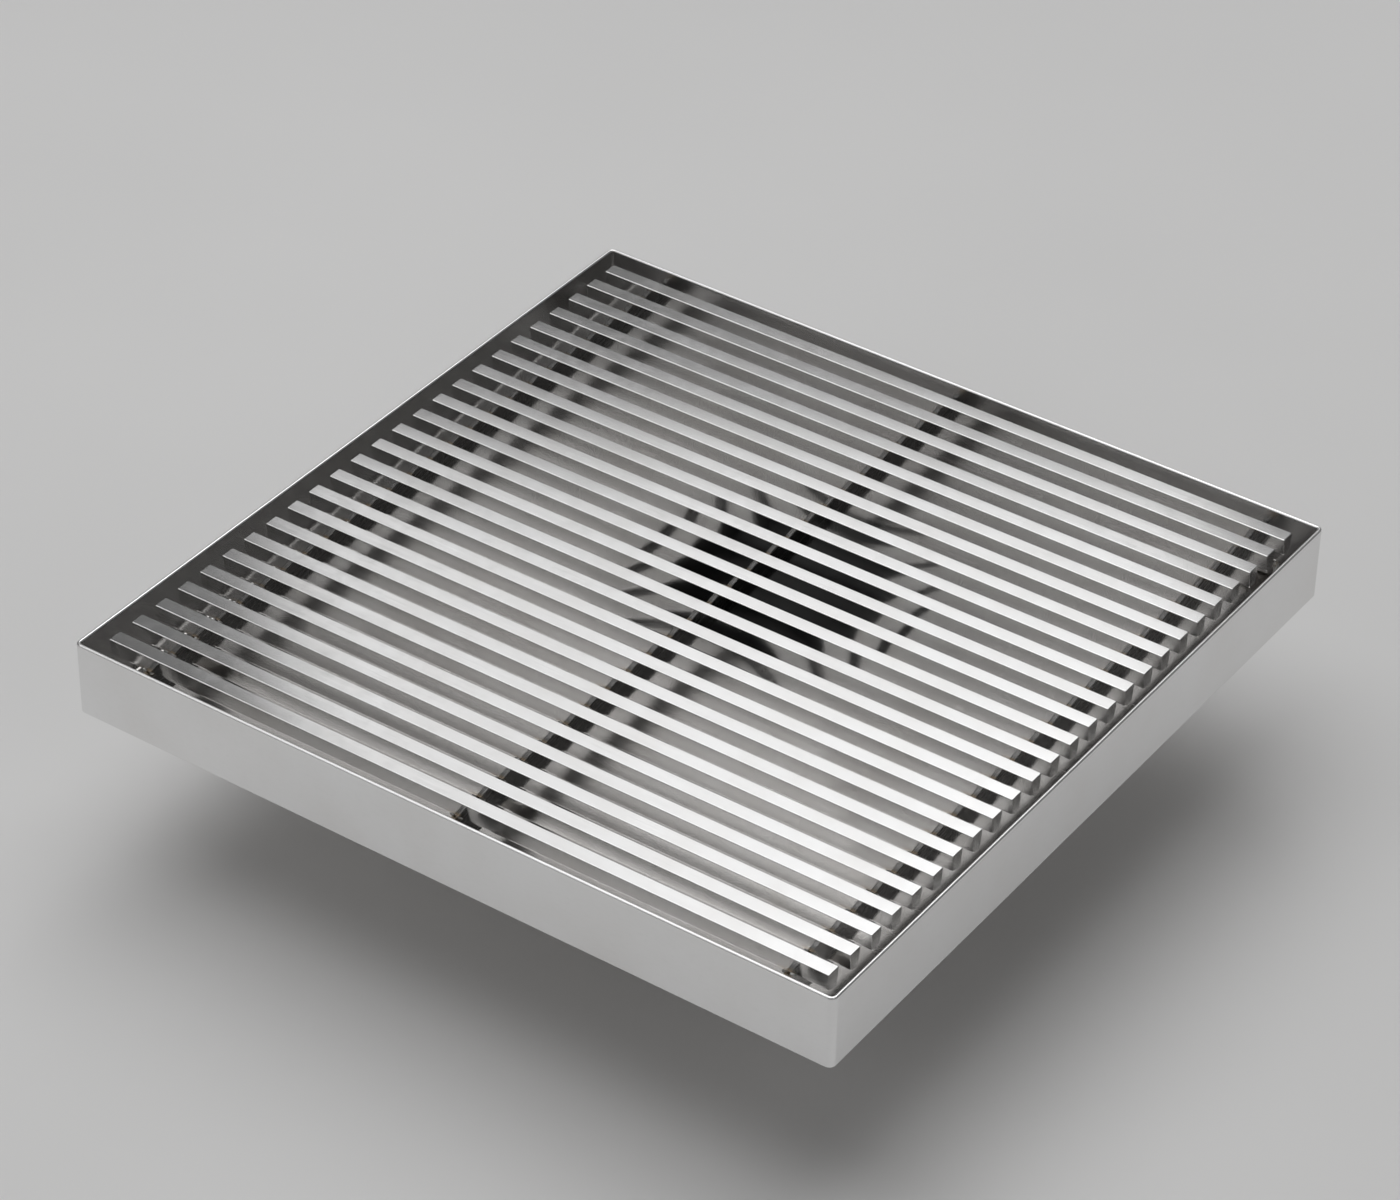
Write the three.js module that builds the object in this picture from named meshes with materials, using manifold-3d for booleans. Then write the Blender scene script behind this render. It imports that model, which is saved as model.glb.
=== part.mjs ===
// Square floor drain with a lift-out bar grate and a lift-out odour trap.
//
// Millimetres. +Z is up, +X runs along the grate bars and +Y across them, to the
// back. The origin is under the centre of the square, on the outlet's axis, level
// with the foot of the outlet spigot.

import * as THREE from 'three';
import { mergeVertices } from 'three/addons/utils/BufferGeometryUtils.js';
import Module from 'manifold-3d';

const wasm = await Module();
wasm.setup();

// ---------------------------------------------------------------- dimensions

// Tray: a folded square frame with a sheet floor inside it
const TRAY_SIZE = 300;
const SHEET = 1.5;
const RIM_Z = 90;
const SKIRT_HEIGHT = 28;
const CORNER_RADIUS = 2.5;
const FLOOR_EDGE_DEPTH = 26.5;    // top of the floor below the rim, along the walls
const FLOOR_OUTLET_DEPTH = 29;    // the same, round the outlet
const FLOOR_BAND = 12;            // level band along the walls
const FLOOR_CORNER_TRIM = 1.2;    // the floor's corners are cut to clear the frame's bends

// Outlet, in the middle of the tray
const OUTLET_LAND_RADIUS = 60;    // level ring of floor round the recess
const RECESS_RADIUS = 51;
const RECESS_DEPTH = 3;
const LEDGE_RADIUS = 44;          // hole left by the ledge at the foot of the recess
const SPIGOT_RADIUS = 55;

// Grate: wedge bars lying on three flat bars
const BAR_COUNT = 25;
const BAR_PITCH = 11.53;
const BAR_LENGTH = 285;
const BAR_TOP_WIDTH = 5.5;
const BAR_FOOT_WIDTH = 4;
const BAR_HEIGHT = 7;
const BAR_BELOW_RIM = 0.4;
const CROSS_BAR_OFFSET = 127;     // outer cross bars, either side of the middle one
const CROSS_BAR_THICKNESS = 2;
const CROSS_BAR_FOOT_DEPTH = 20;
const CROSS_BAR_LENGTH = 291;

// Lugs: steel angles on the walls that carry the ends of the cross bars
const LUG_WIDTH = 14;
const LUG_REACH = 7;
const LUG_LEG = 4.5;

// Odour trap: flange, seal and sleeve, closed from below by two half-round flaps
const SEAL_THICKNESS = 1;
const SEAL_INNER_RADIUS = 44.5;
const SEAL_OUTER_RADIUS = 50;      // its rim shows round the flange and seals in the recess
const FLANGE_THICKNESS = 1;
const FLANGE_RADIUS = 47.5;
const FLANGE_HOLE_RADIUS = 38;
const SLEEVE_TOP_RADIUS = 43;
const SLEEVE_FOOT_RADIUS = 41;
const SLEEVE_FOOT_BORE = 35;
const SLEEVE_FOOT_Z = 43;         // seat that the flaps close against
const BRIDGE_WIDTH = 12;          // bridge across the bore, over the hinge pin
const BRIDGE_HEIGHT = 5;
const BRIDGE_BITE = 2;            // how far its ends run into the sleeve's wall

// Flap hinge
const PIN_RADIUS = 1.25;
const PIN_LENGTH = 84;
const PIN_Z = 39.2;
const PIN_CLEARANCE = 0.3;
const PIN_HOLE_LENGTH = 94;
const EAR_WIDTH = 6;              // ears of the sleeve that hold the pin
const EAR_INNER_X = 35.2;
const EAR_OUTER_X = 40.6;
const EAR_FOOT = 2.5;             // ear below the pin's axis
const EAR_BITE = 1;               // how far its top runs into the sleeve's wall
const FLAP_RADIUS = 37;
const FLAP_THICKNESS = 2;
const FLAP_UNDERSIDE = 1.5;       // above the pin's axis when shut
const FLAP_STRAIGHT_EDGE = 4.2;   // from the pin's axis
const KNUCKLE_RADIUS = 2.8;
const KNUCKLE_LENGTH = 6;
const KNUCKLE_ARM = 5.5;
const FRONT_KNUCKLE_X = 29;
const BACK_KNUCKLE_X = 21;

// Torsion springs, side by side in the middle of the pin
const SPRING_WIRE_RADIUS = 0.4;
const SPRING_COIL_RADIUS = 2.1;
const SPRING_TURNS = 5;
const SPRING_PITCH = 1.5;
const SPRING_START_X = 1.8;
const SPRING_LEG_LENGTH = 9.5;
const SPRING_LEG_RISE = 15;       // degrees
const SPRING_TAIL_LENGTH = 3;
const SPRING_STEPS = 84;
const SPRING_WIRE_SEGMENTS = 3;

// Facets
const MERGE_DISTANCE = 1e-4;
const ROUND = 64;
const SMALL_ROUND = 20;
const CORNER_STEPS = 5;
const FLOOR_SIDE_STEPS = 12;

// Sizes that follow from the ones above
const HALF_TRAY = TRAY_SIZE / 2;
const HALF_INSIDE = HALF_TRAY - SHEET;
const SKIRT_FOOT_Z = RIM_Z - SKIRT_HEIGHT;
const FLOOR_EDGE_Z = RIM_Z - FLOOR_EDGE_DEPTH;
const FLOOR_LAND_Z = RIM_Z - FLOOR_OUTLET_DEPTH;
const LEDGE_Z = FLOOR_LAND_Z - RECESS_DEPTH;
const BAR_TOP_Z = RIM_Z - BAR_BELOW_RIM;
const BAR_FOOT_Z = BAR_TOP_Z - BAR_HEIGHT;
const CROSS_BAR_FOOT_Z = RIM_Z - CROSS_BAR_FOOT_DEPTH;
const FLANGE_FOOT_Z = LEDGE_Z + SEAL_THICKNESS;
const FLAP_Z = PIN_Z + FLAP_UNDERSIDE;

// ----------------------------------------------------------------- materials

const polishedSteel = { color: 0xd4d6d8, roughness: 0.12, metalness: 1 };
const brushedSteel = { color: 0xc9cacb, roughness: 0.35, metalness: 1 };
const satinSteel = { color: 0xb9babb, roughness: 0.42, metalness: 1 };
const springSteel = { color: 0xa9abae, roughness: 0.3, metalness: 1 };
const blackPlastic = { color: 0x141414, roughness: 0.5, metalness: 0 };
const blackRubber = { color: 0x1b1b1b, roughness: 0.8, metalness: 0 };

// ------------------------------------------------------------- shape helpers

function piece(name, geometry, finish) {
  const mesh = new THREE.Mesh(geometry, new THREE.MeshStandardMaterial(finish));
  mesh.name = name;
  return mesh;
}

// A box from its lowest and highest corners.
function boxBetween(low, high) {
  const size = high.map((value, axis) => value - low[axis]);
  const middle = high.map((value, axis) => (value + low[axis]) / 2);
  return new THREE.BoxGeometry(...size).translate(...middle);
}

// An outline in the X-Y plane, raised from one height to another.
function slab(shape, lowZ, highZ, curveSegments = ROUND / 4) {
  const options = { depth: highZ - lowZ, bevelEnabled: false, curveSegments };
  return new THREE.ExtrudeGeometry(shape, options).translate(0, 0, lowZ);
}

// An outline in the Y-Z plane, given as [y, z] points, drawn out along X.
function prismAlongX(outline, lowX, highX) {
  const shape = new THREE.Shape(outline.map(([y, z]) => new THREE.Vector2(y, z)));
  const options = { depth: highX - lowX, bevelEnabled: false };
  const geometry = new THREE.ExtrudeGeometry(shape, options);
  geometry.applyMatrix4(new THREE.Matrix4().makeBasis(
    new THREE.Vector3(0, 1, 0),
    new THREE.Vector3(0, 0, 1),
    new THREE.Vector3(1, 0, 0),
  ));
  return geometry.translate(lowX, 0, 0);
}

// A ring turned about Z from a closed outline of [radius, z] points.
function turned(outline, segments = ROUND) {
  const points = [...outline, outline[0]].map(([radius, z]) => new THREE.Vector2(radius, z));
  return new THREE.LatheGeometry(points, segments).rotateX(Math.PI / 2);
}

function ring(innerRadius, outerRadius, lowZ, highZ) {
  return turned([[innerRadius, lowZ], [outerRadius, lowZ], [outerRadius, highZ], [innerRadius, highZ]]);
}

// A cylinder lying along X, centred on x, at the height of the hinge pin.
function rodAtPin(radius, x, length, segments = SMALL_ROUND) {
  const rod = new THREE.CylinderGeometry(radius, radius, length, segments);
  return rod.rotateZ(Math.PI / 2).translate(x, 0, PIN_Z);
}

function squareOutline(PathType, half, radius) {
  const path = new PathType();
  const reach = half - radius;
  path.absarc(reach, reach, radius, 0, Math.PI / 2);
  path.absarc(-reach, reach, radius, Math.PI / 2, Math.PI);
  path.absarc(-reach, -reach, radius, Math.PI, Math.PI * 1.5);
  path.absarc(reach, -reach, radius, Math.PI * 1.5, Math.PI * 2);
  path.closePath();
  return path;
}

// A closed skin through loops of equally many points, the last joined to the first.
function skinThrough(loops) {
  const count = loops[0].length;
  const index = [];
  for (let loop = 0; loop < loops.length; loop += 1) {
    const next = (loop + 1) % loops.length;
    for (let point = 0; point < count; point += 1) {
      const after = (point + 1) % count;
      const a = loop * count + point;
      const b = loop * count + after;
      const c = next * count + after;
      const d = next * count + point;
      index.push(a, b, c, a, c, d);
    }
  }
  const geometry = new THREE.BufferGeometry();
  geometry.setAttribute('position', new THREE.Float32BufferAttribute(loops.flat(2), 3));
  geometry.setIndex(index);
  geometry.computeVertexNormals();
  return geometry;
}

// ------------------------------------------------------------ join and cut

function toSolid(geometry) {
  const bare = geometry.clone();
  bare.deleteAttribute('normal');
  bare.deleteAttribute('uv');
  const merged = mergeVertices(bare, MERGE_DISTANCE);
  return new wasm.Manifold(new wasm.Mesh({
    numProp: 3,
    vertProperties: Float32Array.from(merged.attributes.position.array),
    triVerts: Uint32Array.from(merged.index.array),
  }));
}

function toGeometry(solid) {
  const mesh = solid.getMesh();
  const geometry = new THREE.BufferGeometry();
  geometry.setAttribute('position', new THREE.BufferAttribute(mesh.vertProperties, mesh.numProp));
  geometry.setIndex(new THREE.BufferAttribute(mesh.triVerts, 1));
  geometry.computeVertexNormals();
  return geometry;
}

function joined(geometries) {
  return geometries.map(toSolid).reduce((whole, solid) => whole.add(solid));
}

// ---------------------------------------------------------------------- tray

// Four walls folded from one strip, with a small bend at each corner.
function makeSkirt() {
  const outline = squareOutline(THREE.Shape, HALF_TRAY, CORNER_RADIUS);
  outline.holes.push(squareOutline(THREE.Path, HALF_INSIDE, CORNER_RADIUS - SHEET));
  return piece('tray_skirt', slab(outline, SKIRT_FOOT_Z, RIM_Z, CORNER_STEPS), polishedSteel);
}

// Points along the four sides of a square, side by side, with the corners cut.
function squareLoop(half, z) {
  const reach = half - FLOOR_CORNER_TRIM;
  const points = [];
  for (let side = 0; side < 4; side += 1) {
    const turn = side * Math.PI / 2;
    for (let step = 0; step <= FLOOR_SIDE_STEPS; step += 1) {
      const along = reach * (2 * step / FLOOR_SIDE_STEPS - 1);
      points.push([
        half * Math.round(Math.cos(turn)) - along * Math.round(Math.sin(turn)),
        half * Math.round(Math.sin(turn)) + along * Math.round(Math.cos(turn)),
        z,
      ]);
    }
  }
  return points;
}

// As many points round the outlet, shared out so that each side of the square has
// its own arc, from the direction of one corner to the direction of the next.
function outletLoop(radius, z) {
  const reach = HALF_INSIDE - FLOOR_BAND;
  return squareLoop(reach, z).map(([x, y]) => {
    const direction = Math.atan2(y, x);
    return [radius * Math.cos(direction), radius * Math.sin(direction), z];
  });
}

// One sheet: a level band along the walls, four panels that fall to the outlet, a
// level land round it, and a pressed recess with a ledge for the trap.
function makeFloor() {
  const bandHalf = HALF_INSIDE - FLOOR_BAND;
  const collarRadius = RECESS_RADIUS + SHEET;
  const geometry = skinThrough([
    squareLoop(HALF_INSIDE, FLOOR_EDGE_Z),
    squareLoop(bandHalf, FLOOR_EDGE_Z),
    outletLoop(OUTLET_LAND_RADIUS, FLOOR_LAND_Z),
    outletLoop(RECESS_RADIUS, FLOOR_LAND_Z),
    outletLoop(RECESS_RADIUS, LEDGE_Z),
    outletLoop(LEDGE_RADIUS, LEDGE_Z),
    outletLoop(LEDGE_RADIUS, LEDGE_Z - SHEET),
    outletLoop(collarRadius, LEDGE_Z - SHEET),
    outletLoop(collarRadius, FLOOR_LAND_Z - SHEET),
    outletLoop(OUTLET_LAND_RADIUS, FLOOR_LAND_Z - SHEET),
    squareLoop(bandHalf, FLOOR_EDGE_Z - SHEET),
    squareLoop(HALF_INSIDE, FLOOR_EDGE_Z - SHEET),
  ]);
  return piece('tray_floor', geometry, satinSteel);
}

function makeSpigot() {
  const geometry = ring(SPIGOT_RADIUS - SHEET, SPIGOT_RADIUS, 0, FLOOR_LAND_Z - SHEET);
  return piece('outlet_spigot', geometry, satinSteel);
}

// A small angle against the front wall (side -1) or the back wall (side +1).
function makeLug(name, x, side) {
  const wall = side * HALF_INSIDE;
  const lip = wall - side * LUG_REACH;
  const heel = wall - side * SHEET;
  const shelfFoot = CROSS_BAR_FOOT_Z - SHEET;
  const legFoot = shelfFoot - LUG_LEG;
  const outline = [
    [wall, CROSS_BAR_FOOT_Z],
    [lip, CROSS_BAR_FOOT_Z],
    [lip, shelfFoot],
    [heel, shelfFoot],
    [heel, legFoot],
    [wall, legFoot],
  ];
  return piece(name, prismAlongX(outline, x - LUG_WIDTH / 2, x + LUG_WIDTH / 2), satinSteel);
}

// --------------------------------------------------------------------- grate

function makeBar(number) {
  const y = (number - (BAR_COUNT + 1) / 2) * BAR_PITCH;
  const outline = [
    [y - BAR_FOOT_WIDTH / 2, BAR_FOOT_Z],
    [y + BAR_FOOT_WIDTH / 2, BAR_FOOT_Z],
    [y + BAR_TOP_WIDTH / 2, BAR_TOP_Z],
    [y - BAR_TOP_WIDTH / 2, BAR_TOP_Z],
  ];
  const name = `grate_bar_${String(number).padStart(2, '0')}`;
  return piece(name, prismAlongX(outline, -BAR_LENGTH / 2, BAR_LENGTH / 2), brushedSteel);
}

function makeCrossBar(name, x) {
  const low = [x - CROSS_BAR_THICKNESS / 2, -CROSS_BAR_LENGTH / 2, CROSS_BAR_FOOT_Z];
  const high = [x + CROSS_BAR_THICKNESS / 2, CROSS_BAR_LENGTH / 2, BAR_FOOT_Z];
  return piece(name, boxBetween(low, high), satinSteel);
}

// ---------------------------------------------------------------------- trap

function pinHole() {
  return toSolid(rodAtPin(PIN_RADIUS + PIN_CLEARANCE, 0, PIN_HOLE_LENGTH));
}

// A tapered tube with a bridge across its foot and two ears for the hinge pin.
function makeSleeve() {
  const tube = turned([
    [SLEEVE_FOOT_BORE, SLEEVE_FOOT_Z],
    [SLEEVE_FOOT_RADIUS, SLEEVE_FOOT_Z],
    [SLEEVE_TOP_RADIUS, FLANGE_FOOT_Z],
    [FLANGE_HOLE_RADIUS, FLANGE_FOOT_Z],
  ]);
  const bridge = boxBetween(
    [-SLEEVE_FOOT_BORE - BRIDGE_BITE, -BRIDGE_WIDTH / 2, SLEEVE_FOOT_Z],
    [SLEEVE_FOOT_BORE + BRIDGE_BITE, BRIDGE_WIDTH / 2, SLEEVE_FOOT_Z + BRIDGE_HEIGHT],
  );
  const ears = [-EAR_OUTER_X, EAR_INNER_X].map((lowX) => boxBetween(
    [lowX, -EAR_WIDTH / 2, PIN_Z - EAR_FOOT],
    [lowX + EAR_OUTER_X - EAR_INNER_X, EAR_WIDTH / 2, SLEEVE_FOOT_Z + EAR_BITE],
  ));
  const solid = joined([tube, bridge, ...ears]).subtract(pinHole());
  return piece('trap_sleeve', toGeometry(solid), blackPlastic);
}

// A half-round plate behind the pin, with two knuckles that turn on it. The front
// flap is the same shape on the other side, with its knuckles in between.
function makeFlap(name, side, knuckleX) {
  const edgeAngle = Math.asin(FLAP_STRAIGHT_EDGE / FLAP_RADIUS);
  const outline = new THREE.Shape();
  outline.absarc(0, 0, FLAP_RADIUS, edgeAngle, Math.PI - edgeAngle);
  outline.closePath();
  const plate = slab(outline, FLAP_Z, FLAP_Z + FLAP_THICKNESS, ROUND / 2);
  const parts = [plate];
  for (const x of [-knuckleX, knuckleX]) {
    parts.push(rodAtPin(KNUCKLE_RADIUS, x, KNUCKLE_LENGTH));
    parts.push(boxBetween(
      [x - KNUCKLE_LENGTH / 2, 0, FLAP_Z],
      [x + KNUCKLE_LENGTH / 2, KNUCKLE_ARM, FLAP_Z + FLAP_THICKNESS],
    ));
  }
  const geometry = toGeometry(joined(parts).subtract(pinHole()));
  const flap = piece(name, geometry, blackPlastic);
  if (side < 0) {
    flap.rotation.z = Math.PI;
  }
  return flap;
}

// The wire of one torsion spring: a tail up to the bridge, the coil round the pin,
// and a leg that slopes up to the underside of the flap.
class SpringWire extends THREE.Curve {
  constructor() {
    super();
    this.rise = THREE.MathUtils.degToRad(SPRING_LEG_RISE);
    this.startAngle = Math.PI;
    this.sweep = 2 * Math.PI * SPRING_TURNS + Math.PI / 2 + this.rise;
    const coilLength = this.sweep * SPRING_COIL_RADIUS;
    this.total = SPRING_TAIL_LENGTH + coilLength + SPRING_LEG_LENGTH;
    this.tailShare = SPRING_TAIL_LENGTH / this.total;
    this.legShare = SPRING_LEG_LENGTH / this.total;
  }

  onCoil(share) {
    const angle = this.startAngle + share * this.sweep;
    const x = SPRING_START_X + share * this.sweep / (2 * Math.PI) * SPRING_PITCH;
    return new THREE.Vector3(
      x,
      SPRING_COIL_RADIUS * Math.cos(angle),
      PIN_Z + SPRING_COIL_RADIUS * Math.sin(angle),
    );
  }

  getPoint(t, target = new THREE.Vector3()) {
    if (t < this.tailShare) {
      const left = (this.tailShare - t) * this.total;
      return target.copy(this.onCoil(0)).add(new THREE.Vector3(0, 0, left));
    }
    if (t > 1 - this.legShare) {
      const gone = (t - 1 + this.legShare) * this.total;
      const step = new THREE.Vector3(0, gone * Math.cos(this.rise), gone * Math.sin(this.rise));
      return target.copy(this.onCoil(1)).add(step);
    }
    return target.copy(this.onCoil((t - this.tailShare) / (1 - this.tailShare - this.legShare)));
  }
}

function makeSpring(name, side) {
  const section = new THREE.Shape();
  section.absarc(0, 0, SPRING_WIRE_RADIUS, 0, 2 * Math.PI);
  const geometry = new THREE.ExtrudeGeometry(section, {
    extrudePath: new SpringWire(),
    steps: SPRING_STEPS,
    curveSegments: SPRING_WIRE_SEGMENTS,
    bevelEnabled: false,
  });
  const spring = piece(name, geometry, springSteel);
  if (side < 0) {
    spring.rotation.z = Math.PI;
  }
  return spring;
}

function makeTrap() {
  const seal = ring(SEAL_INNER_RADIUS, SEAL_OUTER_RADIUS, LEDGE_Z, FLANGE_FOOT_Z);
  const flange = ring(FLANGE_HOLE_RADIUS, FLANGE_RADIUS, FLANGE_FOOT_Z, FLANGE_FOOT_Z + FLANGE_THICKNESS);
  return [
    piece('trap_flange', flange, satinSteel),
    piece('trap_seal', seal, blackRubber),
    makeSleeve(),
    piece('trap_pin', rodAtPin(PIN_RADIUS, 0, PIN_LENGTH), springSteel),
    makeFlap('trap_flap_back', 1, BACK_KNUCKLE_X),
    makeFlap('trap_flap_front', -1, FRONT_KNUCKLE_X),
    makeSpring('flap_spring_back', 1),
    makeSpring('flap_spring_front', -1),
  ];
}

// ------------------------------------------------------------------ assembly

const drain = new THREE.Group();
drain.add(makeSkirt(), makeFloor(), makeSpigot());

const columns = { left: -CROSS_BAR_OFFSET, centre: 0, right: CROSS_BAR_OFFSET };
for (const [column, x] of Object.entries(columns)) {
  drain.add(makeLug(`rest_lug_front_${column}`, x, -1));
  drain.add(makeLug(`rest_lug_back_${column}`, x, 1));
  drain.add(makeCrossBar(`cross_bar_${column}`, x));
}

for (let number = 1; number <= BAR_COUNT; number += 1) {
  drain.add(makeBar(number));
}

drain.add(...makeTrap());

export default drain;
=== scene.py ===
import math
import random

import bmesh
import bpy
from mathutils import Matrix, Vector, noise


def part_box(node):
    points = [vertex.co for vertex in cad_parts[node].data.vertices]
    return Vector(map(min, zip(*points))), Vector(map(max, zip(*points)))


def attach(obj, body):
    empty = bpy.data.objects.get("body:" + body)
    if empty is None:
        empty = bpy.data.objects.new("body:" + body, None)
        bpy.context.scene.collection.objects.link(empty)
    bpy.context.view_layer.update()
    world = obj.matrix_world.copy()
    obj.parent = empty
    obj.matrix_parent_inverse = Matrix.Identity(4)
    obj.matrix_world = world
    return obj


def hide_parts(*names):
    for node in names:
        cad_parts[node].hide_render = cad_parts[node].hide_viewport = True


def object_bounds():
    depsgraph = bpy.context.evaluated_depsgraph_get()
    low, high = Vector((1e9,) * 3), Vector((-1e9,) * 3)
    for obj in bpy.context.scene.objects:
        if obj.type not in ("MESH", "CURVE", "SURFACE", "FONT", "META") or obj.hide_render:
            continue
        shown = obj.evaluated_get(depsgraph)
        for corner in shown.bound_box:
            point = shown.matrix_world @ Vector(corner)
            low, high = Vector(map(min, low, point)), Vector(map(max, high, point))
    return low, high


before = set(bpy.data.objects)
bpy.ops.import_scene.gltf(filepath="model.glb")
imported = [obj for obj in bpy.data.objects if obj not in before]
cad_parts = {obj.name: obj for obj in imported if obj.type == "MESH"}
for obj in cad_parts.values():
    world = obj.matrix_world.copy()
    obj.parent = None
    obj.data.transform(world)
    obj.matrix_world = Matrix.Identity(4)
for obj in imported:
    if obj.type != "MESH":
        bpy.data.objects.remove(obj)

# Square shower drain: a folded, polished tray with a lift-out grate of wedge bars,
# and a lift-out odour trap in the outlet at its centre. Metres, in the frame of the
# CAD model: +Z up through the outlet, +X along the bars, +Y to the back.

cad_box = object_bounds()

# ------------------------------------------------------------- driving sizes

MM = 0.001
COLUMNS = ("left", "centre", "right")
BAR_COUNT = 25
BAR_FOOT_WIDTH = 4 * MM
SKIRT_CORNER_RADIUS = 2.5 * MM
FLOOR_CORNER_RADIUS = 1.2 * MM
FLOOR_BAND = 12 * MM            # level band of floor along the walls
OUTLET_LAND_RADIUS = 60 * MM    # level ring of floor round the recess
RECESS_RADIUS = 51 * MM
LEDGE_RADIUS = 44 * MM          # hole left by the ledge at the foot of the recess
SEAL_INNER_RADIUS = 44.5 * MM
FLANGE_HOLE_RADIUS = 38 * MM

# Rounded edges that the plain solids leave out
SHEET_EDGE = 0.3 * MM
BAR_TOP_EDGE = 0.3 * MM
BAR_FOOT_EDGE = 1.0 * MM
BAR_END_EDGE = 0.25 * MM

# How far pieces are out of true
SKIRT_WAVE = 0.10 * MM          # the thin walls bow inwards
FLOOR_WAVE = 0.12 * MM          # the floor's panels wave up and down
BAR_BOW = 0.08 * MM             # a bar's middle stands to the front or back
BAR_ROLL = 0.25                 # degrees
BAR_TRIM = 0.3 * MM             # a bar's end is cut short by up to this

# How finely shapes are cut
SIDE_STEPS = 40
RIM_CORNER_STEPS = 14
FLOOR_CORNER_STEPS = 4
ROUND = 160
SAME_POINT = 0.001 * MM         # points nearer to each other than this count as one

# Places, read from the frame
skirt_low, skirt_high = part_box("tray_skirt")
floor_low, floor_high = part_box("tray_floor")
spigot_low, spigot_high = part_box("outlet_spigot")
flange_low, flange_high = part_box("trap_flange")
seal_low, seal_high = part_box("trap_seal")
bar_low, bar_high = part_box("grate_bar_01")
cross_low, cross_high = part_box("cross_bar_centre")

HALF = skirt_high.x
INSIDE = floor_high.x
SHEET = HALF - INSIDE
RIM_Z = skirt_high.z
CROSS_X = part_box("cross_bar_right")[0].x + (cross_high.x - cross_low.x) / 2
BAR_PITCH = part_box("grate_bar_02")[0].y - bar_low.y


# ---------------------------------------------------------------- node tools

def add(tree, kind, inputs=None, **settings):
    """One shader node; an input is a number, a colour or another node's output."""
    node = tree.nodes.new("ShaderNode" + kind)
    for key, value in settings.items():
        setattr(node, key, value)
    for key, value in (inputs or {}).items():
        if isinstance(value, bpy.types.NodeSocket):
            tree.links.new(value, node.inputs[key])
        else:
            node.inputs[key].default_value = value
    return node


def scaled(tree, where, scale):
    return add(tree, "Mapping", {"Vector": where, "Scale": scale}).outputs["Vector"]


def grain(tree, where, scale, detail=3.0, roughness=0.5):
    inputs = {"Vector": where, "Scale": scale, "Detail": detail, "Roughness": roughness}
    return add(tree, "TexNoise", inputs).outputs["Fac"]


def ranged(tree, value, from_low, from_high, to_low=0.0, to_high=1.0):
    inputs = {
        "Value": value,
        "From Min": from_low,
        "From Max": from_high,
        "To Min": to_low,
        "To Max": to_high,
    }
    return add(tree, "MapRange", inputs, clamp=True).outputs["Result"]


def maths(tree, operation, first, second=0.0):
    return add(tree, "Math", {0: first, 1: second}, operation=operation).outputs["Value"]


def mixed(tree, share, first, second):
    inputs = {"Fac": share, "Color1": first, "Color2": second}
    return add(tree, "MixRGB", inputs).outputs["Color"]


def bumped(tree, height, distance, normal=None):
    inputs = {"Height": height, "Distance": distance}
    if normal is not None:
        inputs["Normal"] = normal
    return add(tree, "Bump", inputs).outputs["Normal"]


def grey(level, warmth=0.0):
    """A grey, a little redder and less blue by its warmth."""
    return (level * (1 + warmth), level, level * (1 - warmth), 1.0)


def start_material(name):
    """(material, its node tree, its Principled shader, the piece's own coordinates)"""
    material = bpy.data.materials.new(name)
    material.use_nodes = True
    tree = material.node_tree
    place = add(tree, "TexCoord").outputs["Object"]
    return material, tree, tree.nodes["Principled BSDF"], place


# ----------------------------------------------------------------- materials

def scratches(tree, place):
    """Thin, sparse, slightly bent lines: 1 on a scratch, 0 off it."""
    inputs = {"Vector": place, "Rotation": (0.3, 0.2, 0.9), "Scale": (30.0, 900.0, 30.0)}
    along = add(tree, "Mapping", inputs).outputs["Vector"]
    line = grain(tree, along, 1.0, detail=2.0)
    return ranged(tree, line, 0.70, 0.74)


def weld_heat(tree, place):
    """1 where a bar meets a cross bar, fading out over a few millimetres."""
    axes = add(tree, "SeparateXYZ", {"Vector": place})
    from_cross_bar = maths(tree, "PINGPONG", axes.outputs["X"], CROSS_X / 2)
    from_bar = maths(tree, "PINGPONG", axes.outputs["Y"], BAR_PITCH / 2)
    from_foot = maths(tree, "ABSOLUTE", maths(tree, "SUBTRACT", axes.outputs["Z"], bar_low.z))
    most_uneven = 5 * MM
    uneven = maths(tree, "MULTIPLY", grain(tree, place, 420.0), most_uneven)
    beside = maths(tree, "SUBTRACT", from_cross_bar, uneven)
    along_x = ranged(tree, beside, -2 * MM, 2 * MM, 1.0, 0.0)
    along_y = ranged(tree, from_bar, 2.2 * MM, 4 * MM, 1.0, 0.0)
    along_z = ranged(tree, from_foot, 0.4 * MM, 2.6 * MM, 1.0, 0.0)
    return maths(tree, "MULTIPLY", maths(tree, "MULTIPLY", along_x, along_y), along_z)


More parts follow.
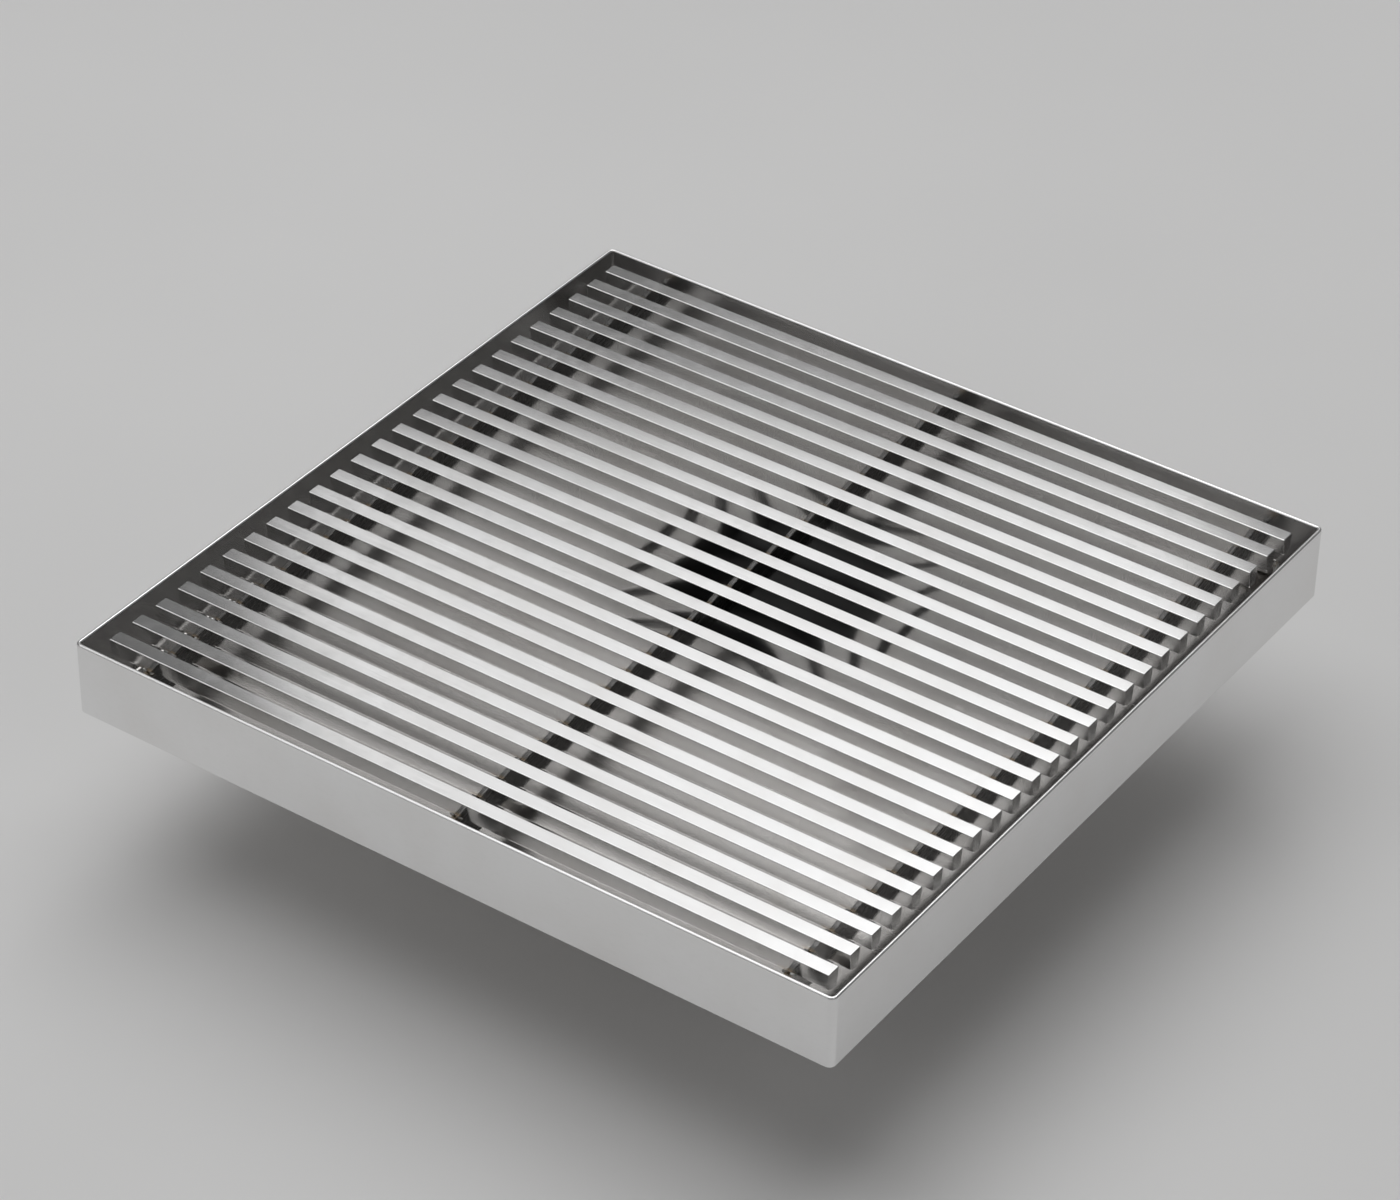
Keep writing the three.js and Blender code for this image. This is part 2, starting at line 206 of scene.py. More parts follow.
def steel(name, level, rough, lines, line_height, warmth=0.0, cloud=60.0, worn=0.5, heated=False):
    """Bare stainless steel.

    level is its lightness and warmth its tint, rough its lowest and highest roughness,
    lines the number of grinding lines per metre along X, Y and Z, and line_height their
    depth. cloud is the number of dull patches per metre, and worn how strongly they and
    the scratches show. heated adds heat colours where bars and cross bars are welded.
    """
    material, tree, shader, place = start_material(name)
    fine = grain(tree, scaled(tree, place, lines), 1.0, detail=4.0, roughness=0.6)
    broad_share = 0.22
    broad_lines = [count * broad_share for count in lines]
    broad = grain(tree, scaled(tree, place, broad_lines), 1.0, detail=3.0)
    clouds = grain(tree, place, cloud, detail=4.0, roughness=0.5)
    marks = scratches(tree, place)

    light = grey(level, warmth)
    dull = grey(level * 0.93, warmth + 0.01)
    worn_grey = grey(level * 0.7, warmth)
    colour = mixed(tree, ranged(tree, clouds, 0.35, 0.75), light, dull)
    colour = mixed(tree, ranged(tree, fine, 0.5, 0.9, 0.0, 0.14), colour, worn_grey)
    if heated:
        heat = weld_heat(tree, place)
        straw = (0.62, 0.48, 0.30, 1.0)
        brown = (0.25, 0.17, 0.13, 1.0)
        colour = mixed(tree, ranged(tree, heat, 0.05, 0.5, 0.0, 0.3), colour, straw)
        colour = mixed(tree, ranged(tree, heat, 0.55, 1.0, 0.0, 0.18), colour, brown)
    tree.links.new(colour, shader.inputs["Base Color"])

    low, high = rough
    roughness = ranged(tree, broad, 0.3, 0.7, low, high)
    patchy = ranged(tree, clouds, 0.4, 0.8, 0.0, (high - low) * worn)
    roughness = maths(tree, "ADD", roughness, patchy)
    roughness = maths(tree, "ADD", roughness, maths(tree, "MULTIPLY", marks, 0.04 * worn))
    tree.links.new(roughness, shader.inputs["Roughness"])

    normal = bumped(tree, broad, line_height * 2)
    normal = bumped(tree, fine, line_height, normal=normal)
    tree.links.new(normal, shader.inputs["Normal"])
    shader.inputs["Metallic"].default_value = 1.0
    return material


def bar_metal():
    """Drawn bar, smooth at its sides, with its tread ground lengthwise."""
    drawn = {"lines": (8.0, 3200.0, 3200.0), "line_height": 1e-7, "worn": 0.3}
    material = steel("bar_steel", 0.78, (0.10, 0.14), heated=True, **drawn)
    tree = material.node_tree
    shader = tree.nodes["Principled BSDF"]
    place = add(tree, "TexCoord").outputs["Object"]
    height = add(tree, "SeparateXYZ", {"Vector": place}).outputs["Z"]
    sides_end = bar_high.z - BAR_TOP_EDGE
    tread_starts = bar_high.z - 0.12 * MM
    ground = ranged(tree, height, sides_end, tread_starts)
    fine = grain(tree, scaled(tree, place, (45.0, 3600.0, 900.0)), 1.0, detail=5.0, roughness=0.65)
    patches = grain(tree, place, 160.0, detail=5.0, roughness=0.65)

    drawn_roughness = shader.inputs["Roughness"].links[0].from_socket
    line_roughness = ranged(tree, fine, 0.3, 0.7, 0.11, 0.16)
    patch_roughness = ranged(tree, patches, 0.45, 0.75, 0.0, 0.05)
    ground_roughness = maths(tree, "ADD", line_roughness, patch_roughness)
    difference = maths(tree, "SUBTRACT", ground_roughness, drawn_roughness)
    added = maths(tree, "MULTIPLY", ground, difference)
    roughness = maths(tree, "ADD", drawn_roughness, added)
    tree.links.new(roughness, shader.inputs["Roughness"])

    drawn_normal = shader.inputs["Normal"].links[0].from_socket
    ground_depth = 1.6e-6
    ground_lines = maths(tree, "MULTIPLY", fine, ground)
    normal = bumped(tree, ground_lines, ground_depth, normal=drawn_normal)
    tree.links.new(normal, shader.inputs["Normal"])

    drawn_colour = shader.inputs["Base Color"].links[0].from_socket
    streak = maths(tree, "MULTIPLY", ground, ranged(tree, fine, 0.5, 0.85, 0.0, 0.28))
    tree.links.new(mixed(tree, streak, drawn_colour, grey(0.52)), shader.inputs["Base Color"])
    return material


def frame_metal():
    """Mirror-polished outside, satin inside, with a linished top edge."""
    marks = {"lines": (300.0, 300.0, 900.0), "line_height": 2e-7, "worn": 0.3}
    material = steel("polished_steel", 0.84, (0.035, 0.06), cloud=26.0, **marks)
    tree = material.node_tree
    shader = tree.nodes["Principled BSDF"]
    place = add(tree, "TexCoord").outputs["Object"]
    axes = add(tree, "SeparateXYZ", {"Vector": place}).outputs
    from_middle = [maths(tree, "ABSOLUTE", axes[axis]) for axis in "XY"]
    across = maths(tree, "MAXIMUM", *from_middle)
    inside = ranged(tree, across, INSIDE + 0.2 * MM, INSIDE + 0.8 * MM, 1.0, 0.0)
    on_rim = ranged(tree, axes["Z"], RIM_Z - 0.9 * MM, RIM_Z - 0.5 * MM)
    satin_roughness = 0.17
    linished_roughness = 0.26
    satin = maths(tree, "MULTIPLY", inside, satin_roughness)
    linished = maths(tree, "MULTIPLY", on_rim, linished_roughness)
    dulled = maths(tree, "MAXIMUM", satin, linished)
    polished = shader.inputs["Roughness"].links[0].from_socket
    tree.links.new(maths(tree, "ADD", polished, dulled), shader.inputs["Roughness"])
    return material


def weld_metal():
    """Weld metal: finely rippled and satin, with patches of straw and dark blue."""
    material, tree, shader, place = start_material("weld_metal")
    straw = (0.48, 0.42, 0.34, 1.0)
    dark_blue = (0.12, 0.12, 0.16, 1.0)
    patches = grain(tree, place, 500.0, detail=4.0)
    colour = mixed(tree, ranged(tree, patches, 0.54, 0.66), grey(0.74), straw)
    colour = mixed(tree, ranged(tree, patches, 0.64, 0.74), colour, dark_blue)
    tree.links.new(colour, shader.inputs["Base Color"])
    tree.links.new(ranged(tree, patches, 0.3, 0.7, 0.30, 0.55), shader.inputs["Roughness"])
    ripple = grain(tree, place, 2200.0, detail=2.0)
    ripple_depth = 2e-5
    tree.links.new(bumped(tree, ripple, ripple_depth), shader.inputs["Normal"])
    shader.inputs["Metallic"].default_value = 1.0
    return material


def moulded(name, level, rough, texture, texture_height):
    """Black plastic or rubber with a moulded grain, faint flow marks and dust.

    level is its lightness, rough its lowest and highest roughness, texture the number
    of grains per metre, and texture_height their depth.
    """
    material, tree, shader, place = start_material(name)
    fine = grain(tree, place, texture, detail=3.0)
    flow = grain(tree, scaled(tree, place, (60.0, 60.0, 300.0)), 1.0, detail=3.0)
    dust = ranged(tree, grain(tree, place, 1500.0, detail=6.0, roughness=0.8), 0.62, 0.72)
    flow_mark = grey(level * 1.6)
    dust_grey = grey(0.35, 0.03)
    colour = mixed(tree, ranged(tree, flow, 0.35, 0.7), grey(level), flow_mark)
    colour = mixed(tree, maths(tree, "MULTIPLY", dust, 0.12), colour, dust_grey)
    tree.links.new(colour, shader.inputs["Base Color"])
    low, high = rough
    tree.links.new(ranged(tree, flow, 0.3, 0.7, low, high), shader.inputs["Roughness"])
    tree.links.new(bumped(tree, fine, texture_height), shader.inputs["Normal"])
    return material


bar_steel = bar_metal()
# The cross bars are the same steel as the bars but painted far darker (level 0.24 against 0.78):
# painted shade for the shadow they stand in beneath the bars.
cross_steel_painted_shade = steel(
    "cross_steel_painted_shade", 0.24, (0.22, 0.28), (9000.0, 40.0, 9000.0), 1e-7, warmth=0.01, heated=True,
)
polished_steel = frame_metal()
sheet_steel = steel(
    "sheet_steel", 0.74, (0.21, 0.27), (24.0, 3400.0, 3400.0), 2e-7, warmth=0.02, cloud=22.0,
    worn=0.4,
)
tube_steel = steel(
    "tube_steel", 0.68, (0.2, 0.30), (200.0, 200.0, 2600.0), 2.5e-6, warmth=0.01, cloud=40.0,
)
wire_steel = steel(
    "wire_steel", 0.66, (0.16, 0.26), (3000.0, 3000.0, 3000.0), 2e-6, cloud=200.0,
)
welded = weld_metal()
black_plastic = moulded("black_plastic", 0.022, (0.36, 0.5), 2600.0, 1.5e-5)
black_rubber = moulded("black_rubber", 0.018, (0.62, 0.78), 3800.0, 2.5e-5)


# ---------------------------------------------------------------- mesh tools

def skin(bm, loops, wrap=False):
    """Quads through loops of equally many points; open ends are capped, or the last
    loop joins the first."""
    rows = [[bm.verts.new(point) for point in loop] for loop in loops]
    pairs = list(zip(rows, rows[1:]))
    if wrap:
        pairs.append((rows[-1], rows[0]))
    else:
        bm.faces.new(rows[0])
        bm.faces.new(rows[-1])
    for row, after in pairs:
        for i, vertex in enumerate(row):
            j = (i + 1) % len(row)
            bm.faces.new((vertex, row[j], after[j], after[i]))


def show(name, bm, material, body, replaced=(), sharp=35.0):
    """Turns bm into a piece that rides on a CAD body, in the place of CAD nodes."""
    bmesh.ops.recalc_face_normals(bm, faces=bm.faces)
    mesh = bpy.data.meshes.new(name)
    bm.to_mesh(mesh)
    bm.free()
    mesh.shade_smooth()
    mesh.set_sharp_from_angle(angle=math.radians(sharp))
    mesh.materials.append(material)
    piece = bpy.data.objects.new(name, mesh)
    bpy.context.scene.collection.objects.link(piece)
    normals = piece.modifiers.new("even_normals", "WEIGHTED_NORMAL")
    normals.keep_sharp = True
    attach(piece, body)
    if replaced:
        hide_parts(*replaced)
    return piece


def arc(centre, radius, start, end, steps):
    """Points on an arc in a plane, from one angle to another, in degrees."""
    points = []
    for i in range(steps + 1):
        angle = math.radians(start + (end - start) * i / steps)
        points.append((centre[0] + radius * math.cos(angle), centre[1] + radius * math.sin(angle)))
    return points


def filleted(corners, radii, steps=5):
    """A closed outline with each corner rounded by its own radius."""
    outline = []
    for i, (corner, radius) in enumerate(zip(corners, radii)):
        here = Vector(corner)
        back = (Vector(corners[i - 1]) - here).normalized()
        ahead = (Vector(corners[(i + 1) % len(corners)]) - here).normalized()
        half_angle = back.angle(ahead) / 2
        centre = here + (back + ahead).normalized() * (radius / math.sin(half_angle))
        start = here + back * (radius / math.tan(half_angle)) - centre
        end = here + ahead * (radius / math.tan(half_angle)) - centre
        sweep = start.angle_signed(end)
        for step in range(steps + 1):
            turned = Matrix.Rotation(-sweep * step / steps, 2) @ start
            outline.append(tuple(centre + turned))
    return outline


def rounded_square(half, radius, z, corner_steps=RIM_CORNER_STEPS):
    """Points round a square with rounded corners, the sides cut into equal steps."""
    reach = half - radius
    points = []
    for side in range(4):
        turn = Matrix.Rotation(math.pi / 2 * side, 2)
        for i in range(1, SIDE_STEPS):
            points.append(turn @ Vector((half, reach * (2 * i / SIDE_STEPS - 1))))
        for x, y in arc((reach, reach), radius, 0, 90, corner_steps):
            points.append(turn @ Vector((x, y)))
    return [Vector((x, y, z)) for x, y in points]


def circle(radius, z, count=ROUND):
    points = []
    for i in range(count):
        angle = 2 * math.pi * i / count
        points.append(Vector((radius * math.cos(angle), radius * math.sin(angle), z)))
    return points


def turned_ring(outline):
    """A ring round the outlet's axis from a closed outline of (radius, z) points."""
    bm = bmesh.new()
    skin(bm, [circle(radius, z) for radius, z in outline], wrap=True)
    return bm


def bead(bm, path, radius, ripple, closed=False):
    """A weld bead along a path, in the shape of a thin wavy rope.

    ripple is the turn of the wave from one point of the path to the next, in radians.
    """
    sides = 10
    corners = [2 * math.pi * k / sides for k in range(sides)]
    lump_height = 0.12
    lumps_per_metre = 700
    ripple_height = 0.10
    end_size = 0.35
    loops = []
    for i, point in enumerate(path):
        before = path[i - 1] if closed or i else point
        after = path[(i + 1) % len(path)] if closed or i + 1 < len(path) else point
        along = (after - before).normalized()
        side = along.orthogonal().normalized()
        up = along.cross(side)
        uneven = 1 + lump_height * noise.noise(point * lumps_per_metre)
        size = radius * uneven * (1 + ripple_height * math.sin(i * ripple))
        if not closed and i in (0, len(path) - 1):
            size *= end_size
        loops.append([point + (side * math.cos(a) + up * math.sin(a)) * size for a in corners])
    skin(bm, loops, wrap=closed)


def blob(bm, centre, size, seed):
    """A lump of weld metal, uneven all over."""
    made = bmesh.ops.create_icosphere(bm, subdivisions=3, radius=1.0)
    for vertex in made["verts"]:
        shift = noise.noise(vertex.co * 1.4 + Vector((seed, 0, 0)))
        fine = noise.noise(vertex.co * 3.5 + Vector((0, seed, 0)))
        point = vertex.co * (1 + 0.35 * shift + 0.12 * fine)
        vertex.co = centre + Vector(a * b for a, b in zip(point, size))


def cad_mesh(node):
    """A CAD node's own shape, with its faces joined at their corners."""
    bm = bmesh.new()
    bm.from_mesh(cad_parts[node].data)
    bmesh.ops.remove_doubles(bm, verts=bm.verts, dist=SAME_POINT)
    return bm


def refined(node, edge):
    """A CAD node's shape with its flat faces joined up and its edges rounded."""
    bm = cad_mesh(node)
    flat = math.radians(0.5)
    sharp = math.radians(30)
    bmesh.ops.dissolve_limit(bm, angle_limit=flat, verts=bm.verts, edges=bm.edges)
    corners = [e for e in bm.edges if e.is_manifold and e.calc_face_angle() > sharp]
    bmesh.ops.bevel(
        bm, geom=corners, offset=edge, offset_type="OFFSET", segments=3, profile=0.5,
        affect="EDGES", clamp_overlap=True,
    )
    return bm


# ---------------------------------------------------------------------- tray

def bowed(point, amount, seed):
    """How far a thin wall stands out of true: nothing at its rim and at its bends."""
    waves_along = 22
    waves_up = 16
    free_below = 1 / 3      # share of the height that the rim holds true
    free_beyond = 1 / 12    # share of the half length that a bend holds true
    from_rim = (RIM_Z - point.z) / (RIM_Z - skirt_low.z)
    along = point.y if abs(abs(point.x) - HALF) < 2 * SHEET else point.x
    from_corner = max(0.0, 1 - abs(along) / (HALF - SKIRT_CORNER_RADIUS))
    held = min(1.0, from_rim / free_below) * min(1.0, from_corner / free_beyond)
    place = Vector((point.x * waves_along, point.y * waves_along, point.z * waves_up + seed))
    return amount * held * noise.noise(place)


def make_skirt():
    """The frame: one folded strip, its top edge fully rounded and polished."""
    top_radius = SHEET / 2
    wall_foot = skirt_low.z + SHEET_EDGE
    wall_height = RIM_Z - top_radius - wall_foot
    wall_steps = 6
    heights = [wall_foot + wall_height * i / wall_steps for i in range(1, wall_steps)]
    outline = arc((SHEET_EDGE, wall_foot), SHEET_EDGE, 270, 180, 4)
    outline += [(0.0, z) for z in heights]
    outline += arc((top_radius, RIM_Z - top_radius), top_radius, 180, 0, 14)
    outline += [(SHEET, z) for z in heights[::-1]]
    outline += arc((SHEET - SHEET_EDGE, wall_foot), SHEET_EDGE, 0, -90, 4)

    loops = []
    for inset, z in outline:
        loop = rounded_square(HALF - inset, SKIRT_CORNER_RADIUS - inset, z)
        for point in loop:
            shift = bowed(point, SKIRT_WAVE, 3.0)
            if abs(abs(point.x) - HALF + inset) < SAME_POINT:
                point.x -= math.copysign(abs(shift), point.x)
            elif abs(abs(point.y) - HALF + inset) < SAME_POINT:
                point.y -= math.copysign(abs(shift), point.y)
        loops.append(loop)
    bm = bmesh.new()
    skin(bm, loops, wrap=True)
    show("frame_skirt", bm, polished_steel, "tray", ["tray_skirt"])


def make_floor():
    """The floor: a level band, four panels that fall to the outlet, and a pressed
    recess with rounded edges, the same thickness all over."""
    band = INSIDE - FLOOR_BAND
    bend = 0.7 * MM
    outer_bend = bend + SHEET
    bend_steps = 5
    panel_steps = 12
    waves_per_metre = 18
    edge_z = floor_high.z
    land_z = spigot_high.z + SHEET
    ledge_z = floor_low.z + SHEET

    def square_loop(half, z):
        return rounded_square(half, FLOOR_CORNER_RADIUS, z, corner_steps=FLOOR_CORNER_STEPS)

    def outlet_loop(radius, z):
        loop = []
        for point in square_loop(band, z):
            outward = point.to_2d().normalized() * radius
            loop.append(Vector((outward.x, outward.y, z)))
        return loop

    def panel_loops(drop):
        outer = square_loop(band, edge_z - drop)
        inner = outlet_loop(OUTLET_LAND_RADIUS, land_z - drop)
        loops = []
        for i in range(1, panel_steps):
            share = i / panel_steps
            loop = [a.lerp(b, share) for a, b in zip(outer, inner)]
            held = math.sin(math.pi * share)
            for point in loop:
                place = Vector((point.x * waves_per_metre, point.y * waves_per_metre, 7.0))
                point.z += FLOOR_WAVE * held * noise.noise(place)
            loops.append(loop)
        return loops

    top_bend = arc((RECESS_RADIUS + bend, land_z - bend), bend, 90, 180, bend_steps)
    foot_centre = (RECESS_RADIUS - bend, ledge_z + bend)
    foot_bend = arc(foot_centre, bend, 0, -90, bend_steps)
    ledge_lip = arc((LEDGE_RADIUS + SHEET / 2, ledge_z - SHEET / 2), SHEET / 2, 90, 270, 6)
    foot_outside = arc(foot_centre, outer_bend, -90, 0, bend_steps)
    top_outside_centre = (RECESS_RADIUS + outer_bend, land_z - outer_bend)
    top_outside = arc(top_outside_centre, bend, 180, 90, bend_steps)

    loops = [square_loop(INSIDE, edge_z), square_loop(band, edge_z)]
    loops += panel_loops(0)
    loops += [outlet_loop(OUTLET_LAND_RADIUS, land_z)]
    for outline in (top_bend, foot_bend, ledge_lip, foot_outside, top_outside):
        loops += [outlet_loop(radius, z) for radius, z in outline]
    loops += [outlet_loop(OUTLET_LAND_RADIUS, land_z - SHEET)]
    loops += panel_loops(SHEET)[::-1]
    loops += [square_loop(band, edge_z - SHEET), square_loop(INSIDE, edge_z - SHEET)]
    bm = bmesh.new()
    skin(bm, loops, wrap=True)
    show("floor_pan", bm, sheet_steel, "tray", ["tray_floor"])


def make_floor_seam():
    """The ground weld that joins the floor to the walls, a small hollow fillet."""
    size = 1.6 * MM
    sunk = 0.15 * MM
    least_radius = 0.05 * MM
    z = floor_high.z
    outline = [(-sunk, z - sunk)] + arc((size, z + size), size, 180, 270, 6)
    loops = []
    for inset, height in outline:
        radius = max(SKIRT_CORNER_RADIUS - SHEET - inset, least_radius)
        loops.append(rounded_square(INSIDE - inset, radius, height, corner_steps=FLOOR_CORNER_STEPS))
    bm = bmesh.new()
    skin(bm, loops, wrap=True)
    show("floor_seam", bm, sheet_steel, "tray")


def make_spigot():
    """The outlet tube, and the weld bead that joins it to the floor's underside."""
    inner = spigot_high.x - SHEET
    outer = spigot_high.x
    low = spigot_low.z
    high = spigot_high.z
    foot_edge = 0.5 * MM
    head_edge = 0.1 * MM
    corners = [(inner, low), (outer, low), (outer, high), (inner, high)]
    outline = filleted(corners, [foot_edge, foot_edge, head_edge, head_edge], steps=4)
    show("spigot_tube", turned_ring(outline), tube_steel, "tray", ["outlet_spigot"])

    bead_radius = 1.3 * MM
    path = circle(outer + 0.5 * MM, high - 0.4 * MM, count=360)
    bm = bmesh.new()
    bead(bm, path, bead_radius, ripple=1.05, closed=True)
    show("spigot_weld", bm, welded, "tray")


def make_stitch_welds():
    """Short, sunk welds under the tray, between the floor and the foot of the frame."""
    bm = bmesh.new()
    length = 22 * MM
    bead_radius = 0.7 * MM
    x = INSIDE - 0.6 * MM
    z = skirt_low.z + 0.45 * MM
    steps = 33
    for side in range(4):
        turn = Matrix.Rotation(math.pi / 2 * side, 3, "Z")
        for middle in (-110 * MM, -37 * MM, 37 * MM, 110 * MM):
            path = []
            for i in range(steps + 1):
                y = middle + length * (i / steps - 0.5)
                path.append(turn @ Vector((x, y, z)))
            bead(bm, path, bead_radius, ripple=1.1)
    show("stitch_welds", bm, welded, "tray")


def make_lugs():
    """The small angles that carry the cross bars, and the beads at their two sides."""
    lug_edge = 0.3 * MM
    bead_radius = 0.9 * MM
    bead_inset = 0.6 * MM
    bead_steps = 9
    bm_welds = bmesh.new()
    for side in ("front", "back"):
        for column in COLUMNS:
            node = f"rest_lug_{side}_{column}"
            bm = refined(node, lug_edge)
            show(f"lug_{side}_{column}", bm, sheet_steel, "tray", [node])
            low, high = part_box(node)
            wall = high.y if side == "back" else low.y
            inward = -1 if side == "back" else 1
            for x in (low.x, high.x):
                path = []
                for i in range(bead_steps + 1):
                    z = low.z + bead_inset + (high.z - low.z - 2 * bead_inset) * i / bead_steps
                    path.append(Vector((x, wall + inward * 0.5 * MM, z)))
                bead(bm_welds, path, bead_radius, ripple=1.3)
    show("lug_welds", bm_welds, welded, "tray")


# --------------------------------------------------------------------- grate

def make_bars():
    """Each bar is bowed by a hair and rolled by a fraction of a degree, as welded."""
    draw = random.Random(5)
    foot = BAR_FOOT_WIDTH / 2
    edge = BAR_END_EDGE
    edge_steps = 3
    length_steps = 12
    turns = [math.pi / 2 * i / edge_steps for i in range(edge_steps + 1)]
    for number in range(1, BAR_COUNT + 1):
        node = f"grate_bar_{number:02d}"
        low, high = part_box(node)
        middle = Vector((0, (low.y + high.y) / 2, (low.z + high.z) / 2))
        top = (high.y - low.y) / 2
        half_height = high.z - middle.z
        corners = [(-foot, -half_height), (foot, -half_height), (top, half_height), (-top, half_height)]
        radii = [BAR_FOOT_EDGE, BAR_FOOT_EDGE, BAR_TOP_EDGE, BAR_TOP_EDGE]
        outline = filleted(corners, radii)
        bow = draw.uniform(-BAR_BOW, BAR_BOW)
        roll = Matrix.Rotation(math.radians(draw.uniform(-BAR_ROLL, BAR_ROLL)), 3, "X")
        start = low.x + draw.uniform(0, BAR_TRIM)
        end = high.x - draw.uniform(0, BAR_TRIM)

        ends = [(edge * (1 - math.cos(a)), edge * (1 - math.sin(a))) for a in turns]
        step = (end - start) / length_steps
        stations = [(start + inset, trim) for inset, trim in ends]
        stations += [(start + step * i, 0.0) for i in range(1, length_steps)]
        stations += [(end - inset, trim) for inset, trim in ends[::-1]]
        loops = []
        for x, trim in stations:
            bent = bow * (1 - (2 * x / (high.x - low.x)) ** 2)
            loop = []
            for y, z in outline:
                at_section = Vector((0, y * (1 - trim / top), z * (1 - trim / half_height)))
                loop.append(middle + roll @ at_section + Vector((x, bent, 0)))
            loops.append(loop)
        bm = bmesh.new()
        skin(bm, loops)
        show(f"bar_{number:02d}", bm, bar_steel, "grate", [node])


def make_cross_bars():
    edge = 0.25 * MM
    for column in COLUMNS:
        node = f"cross_bar_{column}"
        show(f"cross_{column}", refined(node, edge), cross_steel_painted_shade, "grate", [node])


def make_grate_welds():
    """Two lumps of weld at each crossing, on the front edge of the bar's foot: one
    against each face of the cross bar."""
    draw = random.Random(17)
    for column in COLUMNS:
        low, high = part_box(f"cross_bar_{column}")
        bm = bmesh.new()
        for number in range(1, BAR_COUNT + 1):
            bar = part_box(f"grate_bar_{number:02d}")
            middle = (bar[0].y + bar[1].y) / 2
            for side, edge in ((-1, low.x), (1, high.x)):
                spot = Vector((
                    edge + side * draw.uniform(0.0, 0.5) * MM,
                    middle - draw.uniform(1.3, 1.9) * MM,
                    high.z + draw.uniform(-0.3, 0.2) * MM,
                ))
                size = (
                    draw.uniform(0.8, 1.3) * MM,
                    draw.uniform(0.5, 0.9) * MM,
                    draw.uniform(0.6, 1.1) * MM,
                )
                blob(bm, spot, size, draw.uniform(0, 90))
        show(f"grate_welds_{column}", bm, welded, "grate", sharp=80.0)


# ---------------------------------------------------------------------- trap

def make_flange():
    """The light ring at the top of the trap, with its edges rounded."""
    inner = FLANGE_HOLE_RADIUS
    outer = flange_high.x
    low = flange_low.z
    high = flange_high.z
    corners = [(inner, low), (outer, low), (outer, high), (inner, high)]
    outline = filleted(corners, [0.1 * MM, 0.35 * MM, 0.35 * MM, 0.45 * MM])
    show("flange_ring", turned_ring(outline), sheet_steel, "trap", ["trap_flange"])


def make_seal():
    """The rubber ring below the flange, with grooves round its underside."""
    inner = SEAL_INNER_RADIUS
    outer = seal_high.x
    low = seal_low.z
    high = seal_high.z
    edge = 0.2 * MM
    margin = 0.3 * MM
    grooves = 3
    groove_depth = 0.25 * MM
    groove_steps = 8
    steps = grooves * groove_steps
    outline = [(inner, low + edge), (inner + edge, low)]
    for i in range(steps + 1):
        radius = inner + margin + (outer - inner - 2 * margin) * i / steps
        depth = groove_depth * (0.5 - 0.5 * math.cos(2 * math.pi * i / groove_steps))
        outline.append((radius, low + depth))
    outline += [(outer - edge, low), (outer, low + edge)]
    outline += [(outer, high - edge), (outer - edge, high)]
    outline += [(inner + edge, high), (inner, high - edge)]
    show("seal_ring", turned_ring(outline), black_rubber, "trap", ["trap_seal"])


def make_trap_mechanism():
    """The sleeve, and on its hinge pin two flaps, each with its spring."""
    sleeve = refined("trap_sleeve", 0.35 * MM)
    show("sleeve", sleeve, black_plastic, "trap", ["trap_sleeve"])
    pin = refined("trap_pin", 0.2 * MM)
    show("hinge_pin", pin, wire_steel, "trap", ["trap_pin"])
    for side in ("front", "back"):
        body = f"flap_{side}"
        flap = refined(f"trap_flap_{side}", 0.3 * MM)
        show(f"flap_{side}", flap, black_plastic, body, [f"trap_flap_{side}"])
        node = f"flap_spring_{side}"
        wire = cad_mesh(node)
        spring = show(f"spring_{side}", wire, wire_steel, body, [node], sharp=60.0)
        rounder = spring.modifiers.new("round_wire", "SUBSURF")
        rounder.levels = rounder.render_levels = 1


make_skirt()
make_floor()
make_floor_seam()
make_spigot()
make_stitch_welds()
make_lugs()
make_bars()
make_cross_bars()
make_grate_welds()
make_flange()
make_seal()
make_trap_mechanism()


# --------------------------------------------------------------------- stage

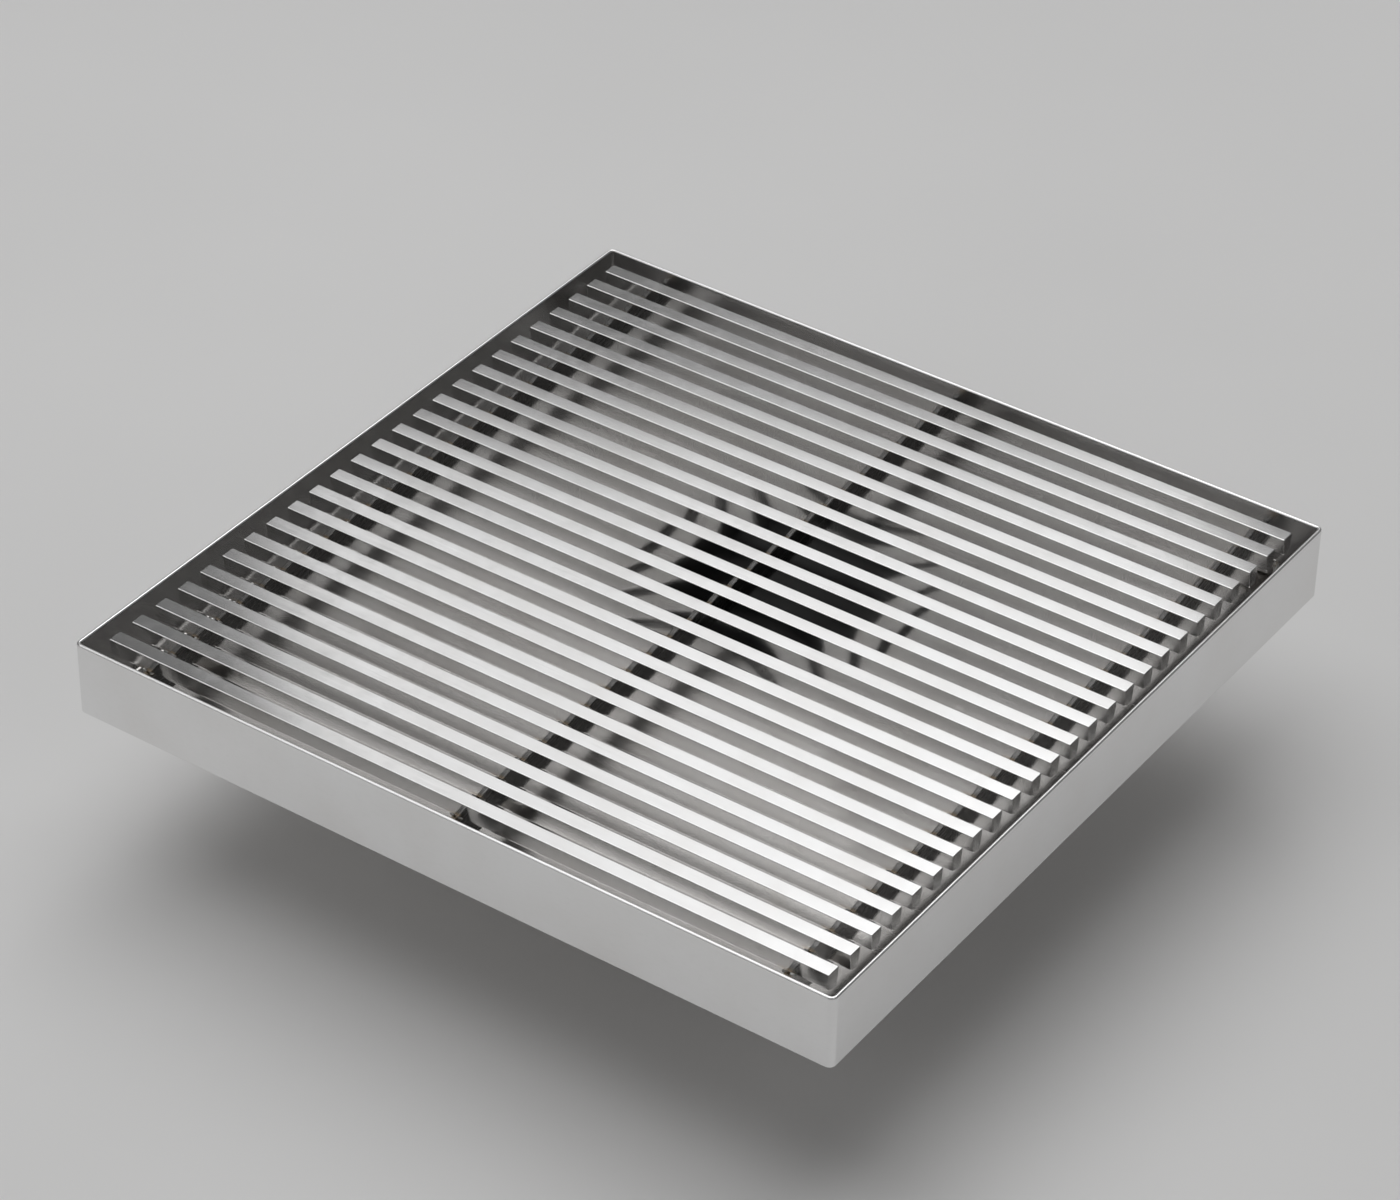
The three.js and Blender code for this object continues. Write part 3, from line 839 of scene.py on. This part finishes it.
def make_stage():
    """A wide pale floor, level with what the drain stands on."""
    half_width = 6.0
    material, tree, shader, place = start_material("studio_floor")
    tone = ranged(tree, grain(tree, place, 3.0), 0.3, 0.7)
    colour = mixed(tree, tone, grey(0.74, 0.004), grey(0.78, 0.004))
    tree.links.new(colour, shader.inputs["Base Color"])
    shader.inputs["Roughness"].default_value = 0.6
    bm = bmesh.new()
    bmesh.ops.create_grid(bm, x_segments=8, y_segments=8, size=half_width)
    mesh = bpy.data.meshes.new("studio_floor")
    bm.to_mesh(mesh)
    bm.free()
    mesh.materials.append(material)
    floor = bpy.data.objects.new("studio_floor", mesh)
    floor.location.z = cad_box[0].z
    bpy.context.scene.collection.objects.link(floor)


def soft_light(name, place, aim, width, height, power):
    """An even rectangle of light; places and sizes in metres, power in watts."""
    light = bpy.data.lights.new(name, "AREA")
    light.shape = "RECTANGLE"
    light.size = width
    light.size_y = height
    light.energy = power
    lamp = bpy.data.objects.new(name, light)
    lamp.location = place
    lamp.rotation_euler = (Vector(aim) - Vector(place)).to_track_quat("-Z", "Y").to_euler()
    bpy.context.scene.collection.objects.link(lamp)


def make_lights():
    """A dim, even world and six soft lights. The bars' tops mirror back and key towards
    the camera, and the frame's rounded top edge mirrors rim."""
    world = bpy.data.worlds.new("studio")
    world.use_nodes = True
    background = world.node_tree.nodes["Background"]
    background.inputs["Color"].default_value = grey(1.0)
    background.inputs["Strength"].default_value = 0.15
    bpy.context.scene.world = world
    bpy.context.scene.view_settings.view_transform = "Standard"
    middle = (0, 0, RIM_Z)
    soft_light("overhead", (-0.35, 0.15, 2.1), middle, 2.6, 2.0, 27.0)
    soft_light("back", (-0.82, 2.00, 1.70), middle, 1.05, 1.2, 0.55)
    soft_light("key", (-0.87, 1.32, 1.48), middle, 0.74, 0.58, 1.15)
    soft_light("rim", (-0.30, 1.25, 1.70), middle, 0.6, 0.7, 2.0)
    soft_light("front_left", (-0.95, -1.55, 1.05), middle, 1.0, 0.7, 2.4)
    soft_light("fill", (1.7, -0.9, 1.3), middle, 0.8, 0.8, 1.6)


def make_camera():
    """The main view: a long lens, from the front right, looking down."""
    data = bpy.data.cameras.new("camera")
    data.lens = 122.0
    data.sensor_width = 36.0
    data.clip_start = 0.05
    data.clip_end = 50.0
    camera = bpy.data.objects.new("camera", data)
    camera.location = (0.7203, -1.0524, RIM_Z + 0.9412)
    camera.rotation_euler = [math.radians(angle) for angle in (53.372, -0.777, 35.129)]
    bpy.context.scene.collection.objects.link(camera)
    bpy.context.scene.camera = camera


make_stage()
make_lights()
make_camera()
